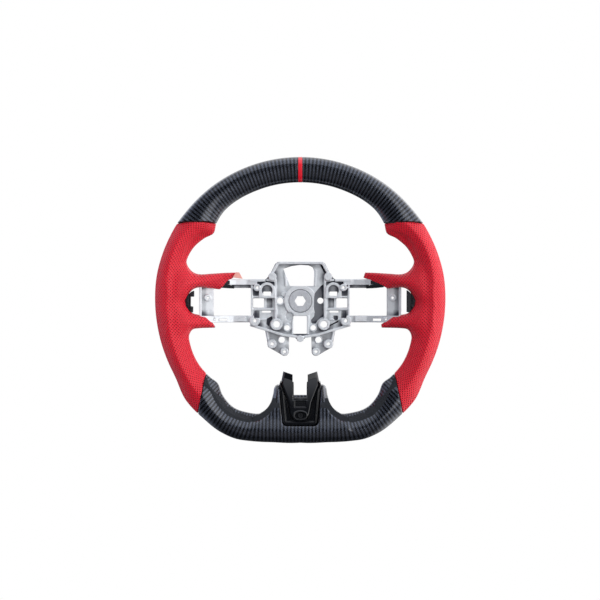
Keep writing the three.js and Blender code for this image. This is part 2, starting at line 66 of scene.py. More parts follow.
# Rim sections: how far the crest leans outwards, and how full the front's inner and outer flanks are.
TOP_SECTION = (4.0, 2.0, 2.2)
BOTTOM_SECTION = (3.0, 1.5, 1.8)
GRIP_SECTION = (2.5, 1.35, 1.5)

# Rim outline: degrees from 12 o'clock, outer radius, inner radius.
RIM_OUTLINE = np.array([
    (0, 183.7, 151.5), (20, 184, 151.6), (38, 184.6, 151), (47, 184.8, 146),
    (52, 185, 140.5), (57, 185.6, 146.5), (64, 185.6, 152.6), (72, 185.8, 154),
    (80, 186, 151), (90, 185.3, 147.5), (100, 185, 148.5), (108, 185.3, 149.8),
    (115, 185.7, 152), (122, 187, 152.6), (130, 192.8, 150.6), (135, 194, 148.6),
    (140, 194.2, 155), (146, 195.5, 159.6), (150, 195.5, 159.8), (155, 194, 157),
    (160, 190, 153.5), (165, 186.2, 150), (170, 183.2, 147.2), (180, 180.8, 145)])

# Spoke tails: distance from the centre, lower edge, upper edge, half depth, height of the crest.
UPPER_TAIL = np.array([
    (76, 13.5, 37, 10, 30), (95, 14.2, 36.4, 10.5, 30), (106, 15.2, 35.8, 11, 28.8),
    (115, 16.2, 35.2, 12, 27.2), (129, 17.4, 34.4, 13.5, 25), (137, 15, 37, 14.8, 23.6),
    (146, 6, 45, 15.6, 20.5), (154, 0, 50, 15.8, 15), (162, -2, 46, 14, 10)])
LOWER_TAIL = np.array([
    (100, -34.4, -18.5, 9.5, -27), (120, -34.6, -19.5, 11, -27), (130, -35, -17.6, 12.5, -27),
    (138, -36.5, -15.2, 14, -26.8), (145, -43, -9, 15.4, -26), (154, -52, -2, 15.6, -24),
    (162, -48, -2, 14, -23)])

TAIL_END_X = 164       # where the tails stop inside the rim
FACET_REACH = 34       # how far from a tail's end its facet is cut

# Where each tail's leather ends, as the outline of what lies beyond it.
TAIL_ENDS = {
    "left": [[(60, 60), (83.2, 60), (83.2, 37.1), (87.2, 30.3), (94, 26), (99.8, 18.6), (104.3, 14.9),
              (104.3, 0), (60, 0)],
             [(60, -8), (131, -8), (131, -17.3), (122, -20.5), (119.8, -22), (113.4, -28.2),
              (109.7, -33.3), (109.7, -50), (60, -50)]],
    "right": [[(60, 60), (83.9, 60), (83.9, 35.8), (82.3, 30.1), (88, 28.4), (105.9, 20.4),
               (111.6, 17), (111.6, 0), (60, 0)],
              [(60, -8), (127, -8), (127, -15.5), (120.5, -19.5), (107.5, -28.5), (105, -30),
               (105, -50), (60, -50)]],
}

# The thumb recess below the upper joint, and its sharp outer edge.
RECESS_DEPTH = 4.5
RECESS_EDGE = [(109, 90), (118.5, 88.3), (129.3, 85.8), (137.8, 80.4), (144, 70.6), (147.6, 60),
               (149.4, 48), (149, 34), (100, 34), (100, 90)]


# ---------------------------------------------------------------- curves
def along(table, places):
    """Smooth values between the rows of a table, whose first column is the place."""
    x, y = table[:, 0], table[:, 1:]
    slopes = np.empty_like(y)
    slopes[1:-1] = (y[2:] - y[:-2]) / (x[2:] - x[:-2])[:, None]
    slopes[0] = (y[1] - y[0]) / (x[1] - x[0])
    slopes[-1] = (y[-1] - y[-2]) / (x[-1] - x[-2])
    places = np.clip(places, x[0], x[-1])
    row = np.clip(np.searchsorted(x, places, side="right") - 1, 0, len(x) - 2)
    span = (x[row + 1] - x[row])[..., None]
    t = (places - x[row])[..., None] / span
    ends = (2 * t**3 - 3 * t**2 + 1) * y[row] + (3 * t**2 - 2 * t**3) * y[row + 1]
    turns = (t**3 - 2 * t**2 + t) * slopes[row] + (t**3 - t**2) * slopes[row + 1]
    return np.moveaxis(ends + turns * span, -1, 0)


def smooth(t):
    """Eases from 0 to 1 as t does, and stays there outside that."""
    t = np.clip(t, 0, 1)
    return t * t * (3 - 2 * t)


def spoke_y(x):
    """Depth of the spokes at a distance from the centre: flat at the hub, forward at the rim."""
    hub, start, end = -10.0, 70.0, 158.0
    return hub + (RIM_Y - hub) * smooth((np.abs(x) - start) / (end - start))


def low_spoke_y(z):
    """Middle depth of the lower trim at a height: it leans back towards the hub."""
    fall = np.clip(z, -170, -86) + 86
    return -31 + 0.3591 * fall + 0.001581 * fall**2


def joint_edge(z):
    """Distance of the lower joint from the middle at a height."""
    x, level, lean = LOWER_JOINT
    return x + (level - z) * lean


# ---------------------------------------------------------------- meshes
def from_points(name, points, faces):
    """A smooth-shaded object made of points, in metres, and faces."""
    mesh = bpy.data.meshes.new(name)
    mesh.from_pydata(points, [], faces)
    mesh.shade_smooth()
    mesh.update()
    piece = bpy.data.objects.new(name, mesh)
    bpy.context.scene.collection.objects.link(piece)
    return piece


def vertex_values(mesh, key):
    """One property with three parts, such as co, of all vertices in a row."""
    values = np.empty(len(mesh.vertices) * 3)
    mesh.vertices.foreach_get(key, values)
    return values


def whole_values(items, key):
    """One whole-number property of a mesh's loops or polygons."""
    values = np.empty(len(items), int)
    items.foreach_get(key, values)
    return values


def flip(piece):
    """Turns a right-hand piece into the left-hand one."""
    mesh = piece.data
    place = vertex_values(mesh, "co")
    place[0::3] *= -1
    mesh.vertices.foreach_set("co", place)
    mesh.flip_normals()
    mesh.update()


# ---------------------------------------------------------------- distance fields
class Space:
    """A grid of points over a box, in millimetres."""

    def __init__(self, low, high, step):
        self.low, self.step = np.array(low, float), step
        axes = [np.arange(a, b + step, step, dtype=np.float32) for a, b in zip(low, high)]
        self.x, self.y, self.z = np.meshgrid(*axes, indexing="ij", sparse=True)
        self.shape = tuple(len(a) for a in axes)

    def mesh(self, name, field):
        """The surface where the field is nought, as an object in metres."""
        grid = openvdb.FloatGrid(3.0 * self.step)
        grid.copyFromArray(np.array(np.broadcast_to(field, self.shape), np.float32, order="C"))
        points, quads = grid.convertToQuads(0.0)
        return from_points(name, (points * self.step + self.low) * MM, quads[:, ::-1])


def blend(a, b, radius):
    """Union of two fields with a fillet."""
    h = np.clip(0.5 + 0.5 * (b - a) / radius, 0, 1)
    return b * (1 - h) + a * h - radius * h * (1 - h)


def carve(a, b, radius):
    """The first field with the second cut away, leaving a rounded edge."""
    return -blend(-a, b, radius)


def clip(field, cutter, radius):
    """The part of a field inside a cutter, with a rounded edge."""
    return -blend(-field, -cutter, radius)


def oval(u, v, half_u, half_v, power):
    """Rough distance to a rounded, slightly square outline."""
    reach = np.sqrt(u * u + v * v) + 1e-6
    q = (np.abs(u / half_u) ** power + np.abs(v / half_v) ** power) ** (1 / power) + 1e-6
    return reach * (1 - 1 / q)


def outline_distance(points, x, z):
    """Signed distance to a closed outline in the front view."""
    points = np.asarray(points, float)
    nearest = np.full(np.broadcast_shapes(x.shape, z.shape), 1e9)
    inside = np.zeros(nearest.shape, bool)
    for (ax, az), (bx, bz) in zip(points, np.roll(points, -1, axis=0)):
        ex, ez = bx - ax, bz - az
        t = np.clip(((x - ax) * ex + (z - az) * ez) / (ex * ex + ez * ez), 0, 1)
        nearest = np.minimum(nearest, (x - ax - t * ex) ** 2 + (z - az - t * ez) ** 2)
        crosses = (az > z) != (bz > z)
        inside ^= crosses & (x < (z - az) * ex / (ez if ez else 1e-9) + ax)
    return np.where(inside, -1, 1) * np.sqrt(nearest)


def mirrored(points):
    """A closed outline from its right half."""
    left = [(-x, z) for x, z in points if x > 0]
    return list(points) + left[::-1]


def slab(flat, depth, middle, half, edge):
    """A flat outline given thickness round a middle depth, with rounded edges."""
    side = flat + edge
    face = np.abs(depth - middle) - half + edge
    outside = np.sqrt(np.maximum(side, 0) ** 2 + np.maximum(face, 0) ** 2)
    return np.minimum(np.maximum(side, face), 0) + outside - edge


def rim_field(space, section):
    """The rim's section carried round its outline. In its powers 2 is round and 1 is flat."""
    crest, inner_power, outer_power = section
    x, y, z = space.x, space.y, space.z
    radius = np.sqrt(x * x + z * z)
    turn = np.abs(np.degrees(np.arctan2(x, z)))
    outer, inner = along(RIM_OUTLINE, turn)
    half = (outer - inner) / 2
    out = radius - (outer + inner) / 2
    front = -(y - RIM_Y) / (RIM_DEPTH / 2)
    lean = crest * np.clip(front, 0, 1) ** 1.5
    past = out - lean
    out = past * half / np.where(past > 0, half - lean * 0.6, half + lean * 0.6)
    power = np.where(past < 0, inner_power, outer_power)
    power = 2.2 + (power - 2.2) * smooth(front * 2.5)
    return oval(out, front * RIM_DEPTH / 2, half, RIM_DEPTH / 2, power)


def tail_field(space, table):
    """A spoke's grip tail on the right side, with a crest along its front."""
    low, high, deep, crest = along(table, np.abs(space.x))
    half = (high - low) / 2
    up = space.z - (high + low) / 2
    front = -(space.y - spoke_y(space.x))
    lean = (crest - (high + low) / 2) * np.clip(front / deep, 0, 1) ** 1.5
    power = np.where(front > 0, 1.9, 2.6)
    body = oval(up - lean, front, half, deep, power)
    return np.maximum(body, np.abs(space.x) - TAIL_END_X)


# ---------------------------------------------------------------- mapping of woven and sewn surfaces
def rim_run():
    """Length along the rim's middle line from 12 o'clock, for each degree to 6 o'clock."""
    turns = np.arange(0, 181.0)
    reach = along(RIM_OUTLINE, turns).mean(axis=0)
    x, z = reach * np.sin(np.radians(turns)), reach * np.cos(np.radians(turns))
    steps = np.hypot(np.diff(x), np.diff(z))
    return turns, np.concatenate([[0], np.cumsum(steps)])


def surface_map(piece, part):
    """Lays a millimetre grid on a skin: along the rim, and round its section.

    The part is top, side or bottom. On a spoke or horn the second coordinate carries straight on
    towards the hub.
    """
    mesh = piece.data
    x, y, z = vertex_values(mesh, "co").reshape(-1, 3).T / MM
    turn = np.abs(np.degrees(np.arctan2(x, z)))
    turns, lengths = rim_run()
    length = np.interp(turn, turns, lengths)
    if part == "top":
        run = np.sign(x) * length
    elif part == "side":
        # Level with the hub it is the height, and beyond that the way along the rim.
        level = 1 - smooth((np.abs(z) - 45) / 45)
        run = level * z + (1 - level) * (np.interp(90, turns, lengths) - length)
    else:
        # Under the hub it is the distance from the middle, and beyond that the way along the rim.
        level = 1 - smooth((np.abs(x) - 40) / 40)
        run = level * x + (1 - level) * np.sign(x) * (lengths[-1] - length)

    half = RIM_DEPTH / 2
    out = np.hypot(x, z) - along(RIM_OUTLINE, turn).mean(axis=0)
    front = RIM_Y - y
    section = np.arctan2(front, out)
    section = np.where(section < -0.75 * math.pi, section + 2 * math.pi, section)
    around = half * section
    if part != "top":
        inward = smooth((-out - 10) / 12)
        around = around * (1 - inward) + inward * np.sign(front) * (35 - 1.1 * out)

    loops = whole_values(mesh.loops, "vertex_index")
    starts = whole_values(mesh.polygons, "loop_start")
    totals = whole_values(mesh.polygons, "loop_total")
    face = np.repeat(np.arange(len(totals)), totals)
    top = np.maximum.reduceat(section[loops], starts)
    wraps = (top[face] - section[loops]) > math.pi      # corners just past the seam in the section
    grid = np.stack([run[loops], around[loops] + wraps * 2 * math.pi * half], axis=1)
    layer = mesh.uv_layers.new(name="skin")
    layer.data.foreach_set("uv", (grid * MM).ravel())
    return piece


def recess_shade(piece):
    """Paints shade on each point of the casting's front by how far it lies below the metal around it, and a
    painted shadow on the deep pockets' floors.
    """
    step, reach = 0.6, 12      # size of a cell in mm, and cells to each side that are compared
    full_depth = 4.5           # a hollow this deep gets the full painted shade
    pocket_y = -7.4            # the deep pockets' floors lie behind this
    mesh = piece.data
    x, y, z = vertex_values(mesh, "co").reshape(-1, 3).T / MM
    facing = vertex_values(mesh, "normal")[1::3]
    column = ((x - x.min()) / step).astype(int)
    row = ((z - z.min()) / step).astype(int)
    height = np.full((column.max() + 1, row.max() + 1), -1e3)
    np.maximum.at(height, (column, row), -y)
    known = height > -999
    total, count = box_sum(np.where(known, height, 0), reach), box_sum(known.astype(float), reach)
    around = (total / np.maximum(count, 1))[column, row]
    # Painted shade in the hollows, on the faces that look forward only.
    shade = smooth((around + y - 0.3) / full_depth) * smooth((0.5 - facing) / 0.5)
    # Painted shadow on the deep pockets' floors.
    painted_pocket_shadow = smooth((y - pocket_y) / 0.8) * (facing < -0.6)
    shade = np.maximum(shade, 0.8 * painted_pocket_shadow)
    layer = mesh.color_attributes.new(name="recess", type="FLOAT_COLOR", domain="POINT")
    rows = np.stack([shade, shade, shade, np.ones(len(shade))], axis=1)
    layer.data.foreach_set("color", rows.ravel())
    return piece


def box_sum(grid, reach):
    """Sum over a square neighbourhood of each cell."""
    padded = np.pad(grid, reach)
    for axis in (0, 1):
        total = np.cumsum(np.insert(padded, 0, 0, axis=axis), axis=axis)
        size = 2 * reach + 1
        padded = np.take(total, range(size, total.shape[axis]), axis=axis) \
            - np.take(total, range(total.shape[axis] - size), axis=axis)
    return padded


# ---------------------------------------------------------------- materials
class Shader:
    """A Principled material and short calls for the nodes that feed it."""

    def __init__(self, name, **settings):
        self.material = bpy.data.materials.new(name)
        self.material.use_nodes = True
        self.tree = self.material.node_tree
        self.surface = self.tree.nodes["Principled BSDF"]
        self.place = self.tree.nodes.new("ShaderNodeTexCoord").outputs["Object"]
        for socket, value in settings.items():
            self.surface.inputs[socket.replace("_", " ")].default_value = value

    def node(self, kind, operation=None, **inputs):
        """A new node. Inputs go by name, or as i0, i1 and so on where a node's sockets share a name."""
        node = self.tree.nodes.new(kind)
        if operation:
            node.operation = operation
        for key, value in inputs.items():
            numbered = key[0] == "i" and key[1:].isdigit()
            self.put(node.inputs[int(key[1:]) if numbered else key], value)
        return node

    def put(self, socket, value):
        """Feeds a socket from a node's output, or sets it to a plain value."""
        if isinstance(value, bpy.types.NodeSocket):
            self.tree.links.new(value, socket)
        else:
            socket.default_value = value

    def math(self, operation, first, second=0.0, third=0.0):
        return self.node("ShaderNodeMath", operation, i0=first, i1=second, i2=third).outputs[0]

    def noise(self, scale, detail=3.0):
        """Cloudy noise, 0 to 1, in the object's own space."""
        return self.node("ShaderNodeTexNoise", Vector=self.place, Scale=scale, Detail=detail).outputs["Fac"]

    def cells(self, scale):
        """Distance to the nearest of many scattered points."""
        return self.node("ShaderNodeTexVoronoi", Vector=self.place, Scale=scale).outputs["Distance"]

    def skin(self):
        """The two millimetre coordinates of a mapped skin, in metres."""
        layer = self.tree.nodes.new("ShaderNodeUVMap")
        layer.uv_map = "skin"
        parts = self.node("ShaderNodeSeparateXYZ", Vector=layer.outputs[0])
        return parts.outputs[0], parts.outputs[1]

    def ramp(self, value, low, high, to_low=0.0, to_high=1.0):
        """Eases from one result to the other as the value goes from low to high."""
        node = self.tree.nodes.new("ShaderNodeMapRange")
        node.interpolation_type = "SMOOTHSTEP"
        sockets = ("Value", "From Min", "From Max", "To Min", "To Max")
        for socket, number in zip(sockets, (value, low, high, to_low, to_high)):
            self.put(node.inputs[socket], number)
        return node.outputs["Result"]

    def mix(self, factor, first, second):
        """A colour between two."""
        node = self.tree.nodes.new("ShaderNodeMix")
        node.data_type = "RGBA"
        for number, value in ((0, factor), (6, first), (7, second)):
            self.put(node.inputs[number], value)
        return node.outputs[2]

    def bump(self, height, depth_mm, strength):
        """A normal from a height, where a height of 1 is that deep."""
        node = self.node("ShaderNodeBump", Height=height, Distance=depth_mm * MM, Strength=strength)
        return node.outputs[0]

    def feed(self, **links):
        """Links node outputs to the surface's inputs, and gives the finished material."""
        for socket, value in links.items():
            self.tree.links.new(value, self.surface.inputs[socket.replace("_", " ")])
        return self.material


def rgb(red, green, blue):
    """A display colour, 0 to 255, as the shader's linear one."""
    parts = [c / 255 for c in (red, green, blue)]
    return tuple(c / 12.92 if c < 0.04045 else ((c + 0.055) / 1.055) ** 2.4 for c in parts) + (1.0,)


def lattice(shader, u, v, pitch):
    """Distance, in pitches, to the nearest hole of a staggered grid."""
    nearest = None
    for shift in (0.0, 0.5):
        a = shader.math("MULTIPLY_ADD", u, 1 / pitch, shift)
        b = shader.math("MULTIPLY_ADD", v, 1 / pitch, shift)
        a = shader.math("SUBTRACT", shader.math("FRACT", a), 0.5)
        b = shader.math("SUBTRACT", shader.math("FRACT", b), 0.5)
        square = shader.math("ADD", shader.math("MULTIPLY", a, a), shader.math("MULTIPLY", b, b))
        nearest = square if nearest is None else shader.math("MINIMUM", nearest, square)
    return shader.math("SQRT", nearest)


def perforated_leather():
    """Fine-grained leather with small holes 4.2 mm apart in staggered rows."""
    s = Shader("perforated_red_leather", Sheen_Weight=0.12, Sheen_Roughness=0.35, Specular_IOR_Level=0.45)
    u, v = s.skin()
    reach = lattice(s, u, v, 4.2 * MM)
    hole = s.ramp(reach, 0.10, 0.20, 1.0, 0.0)
    grain = s.cells(900.0)
    creases = s.noise(260.0, 4.0)
    shade = s.noise(28.0, 2.0)
    base = s.mix(shade, rgb(208, 20, 40), rgb(226, 28, 50))
    base = s.mix(s.ramp(grain, 0.0, 0.5, 0.30, 0.0), base, rgb(172, 14, 30))
    colour = s.mix(s.math("MULTIPLY", hole, 0.92), base, rgb(70, 2, 8))
    height = s.math("MULTIPLY_ADD", grain, 0.22, s.math("MULTIPLY", creases, 0.15))
    height = s.math("SUBTRACT", height, s.ramp(reach, 0.06, 0.34, 1.4, 0.0))
    rough = s.math("MULTIPLY_ADD", creases, 0.18, 0.36)
    rough = s.math("ADD", rough, s.math("MULTIPLY", hole, 0.3))
    return s.feed(Base_Color=colour, Roughness=rough, Normal=s.bump(height, 0.35, 0.8))


def suede():
    """The paler, napped underside of the leather."""
    s = Shader("leather_underside", Roughness=0.9, Sheen_Weight=0.4)
    nap = s.noise(1400.0, 5.0)
    colour = s.mix(nap, rgb(226, 150, 138), rgb(248, 190, 178))
    return s.feed(Base_Color=colour, Normal=s.bump(nap, 0.2, 0.7))


def carbon():
    """Twill weave under a smooth clear coat: each tow passes over two and under two, and the tows lying on
    top one way carry a painted sheen.
    """
    s = Shader("carbon_twill", Metallic=0.8, Anisotropic=0.5, Coat_Weight=1.0, Coat_Roughness=0.045)
    u, v = s.skin()
    tow = 1.6 * MM * math.sqrt(2)
    along_rim, round_rim = s.math("MULTIPLY", u, 1 / tow), s.math("MULTIPLY", v, 1 / tow)
    a, b = s.math("ADD", along_rim, round_rim), s.math("SUBTRACT", along_rim, round_rim)
    step = s.math("ADD", s.math("FLOOR", a), s.math("FLOOR", b))
    over = s.math("LESS_THAN", s.math("FLOORED_MODULO", step, 4.0), 1.5)
    across_a = s.math("ABSOLUTE", s.math("SUBTRACT", s.math("FRACT", a), 0.5))
    across_b = s.math("ABSOLUTE", s.math("SUBTRACT", s.math("FRACT", b), 0.5))
    across = s.math("ADD", s.math("MULTIPLY", over, across_a),
                    s.math("MULTIPLY", s.math("SUBTRACT", 1.0, over), across_b))
    crown = s.math("SUBTRACT", 1.0, s.math("MULTIPLY", s.math("MULTIPLY", across, across), 4.0))
    uneven = s.noise(420.0, 2.0)
    # Painted sheen: where the tows of one way lie on top they are a lit grey, and where the other way's lie
    # on top they are nearly black; each tow is darker towards its edges.
    painted_tow_sheen = s.mix(uneven, rgb(56, 60, 70), rgb(102, 108, 121))
    colour = s.mix(s.math("MULTIPLY", over, 0.97), painted_tow_sheen, rgb(4, 4, 6))
    colour = s.mix(s.ramp(crown, 0.0, 0.35, 0.85, 0.0), colour, rgb(2, 2, 3))
    rough = s.math("MULTIPLY_ADD", uneven, 0.08, 0.24)
    lay = s.tree.nodes.new("ShaderNodeTangent")
    lay.direction_type, lay.uv_map = "UV_MAP", "skin"
    turned = s.math("MULTIPLY_ADD", over, 0.25, 0.125)
    return s.feed(Base_Color=colour, Roughness=rough, Normal=s.bump(crown, 0.12, 0.6),
                  Tangent=lay.outputs[0], Anisotropic_Rotation=turned)


def cast_alloy():
    """Pale die-cast skin, mottled, and darkened with painted shade where recess_shade has marked a hollow.
    """
    s = Shader("die_cast_alloy", Metallic=0.55)
    painted_shade = s.tree.nodes.new("ShaderNodeVertexColor")
    painted_shade.layer_name = "recess"
    grain, flow, pits = s.noise(1500.0, 4.0), s.noise(60.0, 3.0), s.cells(700.0)
    colour = s.mix(flow, rgb(226, 230, 233), rgb(244, 247, 249))
    colour = s.mix(s.ramp(s.noise(220.0, 5.0), 0.52, 0.75, 0.0, 0.35), colour, rgb(186, 189, 196))
    deep = s.node("ShaderNodeSeparateColor", Color=painted_shade.outputs["Color"]).outputs[0]
    # Painted shade: the marked hollows and the pockets' floors are darkened towards a blue-grey.
    colour = s.mix(s.math("MULTIPLY", deep, 0.95), colour, rgb(48, 48, 62))
    rough = s.math("ADD", s.math("MULTIPLY_ADD", flow, 0.12, 0.42), s.math("MULTIPLY", grain, 0.08))
    height = s.math("ADD", s.math("MULTIPLY", grain, 0.5), s.math("MULTIPLY", s.ramp(pits, 0.0, 0.18), 0.4))
    return s.feed(Base_Color=colour, Roughness=rough, Normal=s.bump(height, 0.12, 0.5))


def machined_steel():
    """Turned steel, with faint tool rings round the wheel's axis."""
    s = Shader("machined_steel", Metallic=0.35)
    parts = s.node("ShaderNodeSeparateXYZ", Vector=s.place)
    x, z = parts.outputs[0], parts.outputs[2]
    reach = s.math("SQRT", s.math("ADD", s.math("MULTIPLY", x, x), s.math("MULTIPLY", z, z)))
    feed = 0.7 * MM
    rings = s.math("SINE", s.math("MULTIPLY", reach, 2 * math.pi / feed))
    blur = s.noise(300.0, 3.0)
    colour = s.mix(blur, rgb(180, 183, 188), rgb(212, 215, 219))
    colour = s.mix(s.ramp(s.noise(520.0, 5.0), 0.5, 0.7, 0.0, 0.5), colour, rgb(160, 163, 170))
    rough = s.math("MULTIPLY_ADD", blur, 0.2, 0.42)
    return s.feed(Base_Color=colour, Roughness=rough, Normal=s.bump(rings, 0.02, 0.5))


def drawn_steel():
    """Bare drawn tube, finely streaked."""
    s = Shader("drawn_steel", Metallic=1.0)
    streak = s.noise(200.0, 4.0)
    colour = s.mix(streak, rgb(128, 130, 134), rgb(168, 170, 173))
    return s.feed(Base_Color=colour, Roughness=s.math("MULTIPLY_ADD", streak, 0.25, 0.35),
                  Normal=s.bump(streak, 0.05, 0.4))


def foam():
    """Dark moulded foam with fine pores."""
    s = Shader("moulded_foam", Specular_IOR_Level=0.35)
    pores, lumps = s.cells(1100.0), s.noise(180.0, 4.0)
    colour = s.mix(lumps, rgb(22, 24, 28), rgb(42, 45, 50))
    height = s.math("ADD", s.ramp(pores, 0.0, 0.3), lumps)
    return s.feed(Base_Color=colour, Roughness=s.math("MULTIPLY_ADD", lumps, 0.25, 0.6),
                  Normal=s.bump(height, 0.25, 0.6))


def gloss_black():
    """Black lacquer with a little orange peel and dust."""
    s = Shader("piano_black", Coat_Weight=0.6, Coat_Roughness=0.03, Specular_IOR_Level=0.3)
    peel, dust = s.noise(160.0, 2.0), s.noise(2600.0, 2.0)
    colour = s.mix(peel, rgb(9, 10, 13), rgb(17, 19, 23))
    rough = s.math("ADD", s.math("MULTIPLY_ADD", peel, 0.08, 0.10), s.ramp(dust, 0.66, 0.76, 0.0, 0.12))
    return s.feed(Base_Color=colour, Roughness=rough, Normal=s.bump(peel, 0.06, 0.35))


def liner_plastic():
    """Plain dark plastic with a fine texture."""
    s = Shader("liner_plastic", Specular_IOR_Level=0.45)
    spark = s.noise(1800.0, 3.0)
    colour = s.mix(spark, rgb(18, 20, 24), rgb(36, 39, 45))
    return s.feed(Base_Color=colour, Roughness=s.math("MULTIPLY_ADD", spark, 0.2, 0.38),
                  Normal=s.bump(spark, 0.1, 0.5))


def stripe_red():
    """Bright red under a clear coat."""
    s = Shader("lacquered_red", Coat_Weight=0.8, Coat_Roughness=0.05)
    fleck = s.noise(900.0, 3.0)
    colour = s.mix(fleck, rgb(222, 8, 32), rgb(240, 16, 44))
    return s.feed(Base_Color=colour, Roughness=s.math("MULTIPLY_ADD", fleck, 0.12, 0.28),
                  Normal=s.bump(fleck, 0.03, 0.3))


def thread_red():
    """Red sewing thread."""
    s = Shader("twisted_thread", Sheen_Weight=0.3)
    ply = s.noise(1600.0, 2.0)
    colour = s.mix(ply, rgb(168, 14, 32), rgb(228, 62, 78))
    return s.feed(Base_Color=colour, Roughness=s.math("MULTIPLY_ADD", ply, 0.2, 0.5),
                  Normal=s.bump(ply, 0.15, 0.6))


def black_screw():
    """Blackened steel, rubbed paler in patches."""
    s = Shader("blackened_steel", Metallic=0.7)
    rub = s.noise(900.0, 3.0)
    colour = s.mix(s.ramp(rub, 0.5, 0.7), rgb(30, 31, 34), rgb(64, 66, 70))
    return s.feed(Base_Color=colour, Roughness=s.math("MULTIPLY_ADD", rub, 0.25, 0.3),
                  Normal=s.bump(rub, 0.04, 0.4))


LOOKS = {
    "cast_alloy": cast_alloy(), "machined_steel": machined_steel(), "core_steel": drawn_steel(),
    "black_foam": foam(), "red_leather": perforated_leather(), "leather_underside": suede(),
    "carbon_weave": carbon(), "red_stripe": stripe_red(), "red_thread": thread_red(),
    "liner_plastic": liner_plastic(), "gloss_trim": gloss_black(), "black_screw": black_screw(),
}


def dress(piece, slot, *nodes):
    """Gives a piece its finish, fixes it to the wheel, and hides the CAD nodes it stands for."""
    piece.data.materials.clear()
    piece.data.materials.append(LOOKS[slot])
    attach(piece, "root")
    if nodes:
        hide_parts(*nodes)
    return piece


# ---------------------------------------------------------------- rim skins
def bottom_zone(space, push):
    """Negative below the lower leather joint."""
    lean = LOWER_JOINT[2]
    side = (np.abs(space.x) - joint_edge(space.z) - push) / math.sqrt(1 + lean * lean)
    return np.maximum(side, space.z + 80)


def top_joint(space):
    """Height above the upper joint, which bows up a little at the front."""
    bow = 1.6 * smooth(-(space.y - RIM_Y) / RIM_DEPTH * 2)
    return space.z - TOP_JOINT_Z - bow


def carbon_top():
    """The top of the rim, with a groove for the stripe."""
    space = Space((-160, -66, 92), (160, -24, 187), FINE)
    field = rim_field(space, TOP_SECTION)
    groove = np.maximum(np.abs(space.x) - STRIPE_HALF - 0.2, -(field + STRIPE_DEPTH))
    field = np.maximum(field, -groove)
    field = clip(field, -(top_joint(space) - JOINT_GAP), 0.8)
    piece = surface_map(space.mesh("carbon_top_skin", field), "top")
    return dress(piece, "carbon_weave", "carbon_rim_top")


def stripe():
    """The band let into the carbon at 12 o'clock."""
    space = Space((-5, -66, 146), (5, -24, 187), 0.4)
    rim = rim_field(space, TOP_SECTION)
    proud = 0.05
    skin = np.maximum(rim - proud, proud - STRIPE_THICKNESS - rim)
    band = np.maximum(skin, np.abs(space.x) - STRIPE_HALF)
    return dress(space.mesh("stripe_band", band), "red_stripe", "centre_stripe")


# Front outlines at the flat bottom: the carbon's two horns, the trim's surround and its bracket.
HORN = mirrored([(0, -172), (66, -166), (62, -153), (52, -147.5), (43, -140), (37.5, -130), (34.4, -118),
                 (33.6, -112), (32, -108.8), (29, -107.2), (26, -107.6), (23.5, -109.5), (0, -109.5)])
FRAME_EDGE = mirrored([(0, -158.2), (17.5, -158.2), (20.8, -157.2), (22.6, -154), (23, -148),
                       (27, -108), (25.4, -102), (0, -102)])
BRACKET = mirrored([(0, -152.2), (4.5, -151.6), (10.6, -148.8), (13, -145.2), (15.9, -129.6), (24.6, -108),
                    (24.8, -105), (21.3, -88), (0, -88)])


def carbon_bottom():
    """The flat bottom, with a bevelled horn on each side of the pocket that the trim sits in."""
    space = Space((-142, -66, -186), (142, -18, -86), FINE)
    rim = rim_field(space, BOTTOM_SECTION)
    edge = outline_distance(HORN, space.x, space.z)
    middle = low_spoke_y(space.z)
    horn = slab(edge, space.y, middle, 11.5, 2.5)
    bevel = edge * 0.87 + (middle - space.y) * 0.5 - 1.4
    horn = clip(horn, bevel, 1.5)
    field = blend(rim, horn, 7.0)
    pocket = np.maximum(outline_distance(FRAME_EDGE, space.x, space.z) - 0.35,
                        space.y - middle - 3.4)
    field = carve(field, pocket, 1.2)
    slot = np.maximum(np.abs(space.x) - 9.5, -120.5 - space.z)
    field = carve(field, slot, 0.8)
    field = clip(field, bottom_zone(space, -JOINT_GAP), 0.8)
    piece = surface_map(space.mesh("carbon_bottom_skin", field), "bottom")
    return dress(piece, "carbon_weave", "carbon_rim_bottom")


def grip_field(space):
    """The whole outside form of the right grip, before its ends are cut."""
    rim = rim_field(space, GRIP_SECTION)
    inside = -outline_distance(RECESS_EDGE, space.x, space.z)
    fade = smooth((RIM_Y - space.y) / 9.0) * smooth((space.z - 38) / 30)
    rim = rim + RECESS_DEPTH * smooth((inside + 2.5) / 9.0) * fade
    field = blend(rim, tail_field(space, UPPER_TAIL), 10.0)
    return blend(field, tail_field(space, LOWER_TAIL), 10.0)


def tail_ends(space, side):
    """Distance past each tail's end, the larger of the two."""
    return np.maximum(*(-outline_distance(outline, space.x, space.z) for outline in TAIL_ENDS[side]))


def faceted(space, form, beyond):
    """The form with a sloping facet before each tail's end, which fades out towards the rim."""
    front = spoke_y(space.x) - space.y
    level = np.where(space.z > 0, 6.4, 5.4)      # how far forward the facet is at the tail's end
    facet = (front - level) * 0.9 + beyond * 0.42
    facet = facet - 14 * smooth((space.x - 110) / 20)
    return np.where(beyond > -FACET_REACH, clip(form, facet, 1.0), form)


def bar(space, left, right, low, high):
    """A straight bar along Y, as a field."""
    sides = np.maximum(left - space.x, space.x - right)
    return np.maximum(sides, np.maximum(low - space.z, space.z - high))


def foam_field(space, grip_form, inside, beyond, joints):
    """Foam under the leather, with a stepped end that shows past the upper tail."""
    filling = np.maximum(np.maximum(inside + FOAM_GAP, beyond + 1.5), joints + 0.4)
    end = np.minimum(bar(space, 90.6, 108, 15.8, 26.8), bar(space, 85.5, 108, 15.8, 20.2))
    end = np.maximum(end, spoke_y(space.x) - space.y - 6.0)
    end = np.maximum(end, grip_form + LEATHER + FOAM_GAP)
    return blend(filling, end, 0.3)


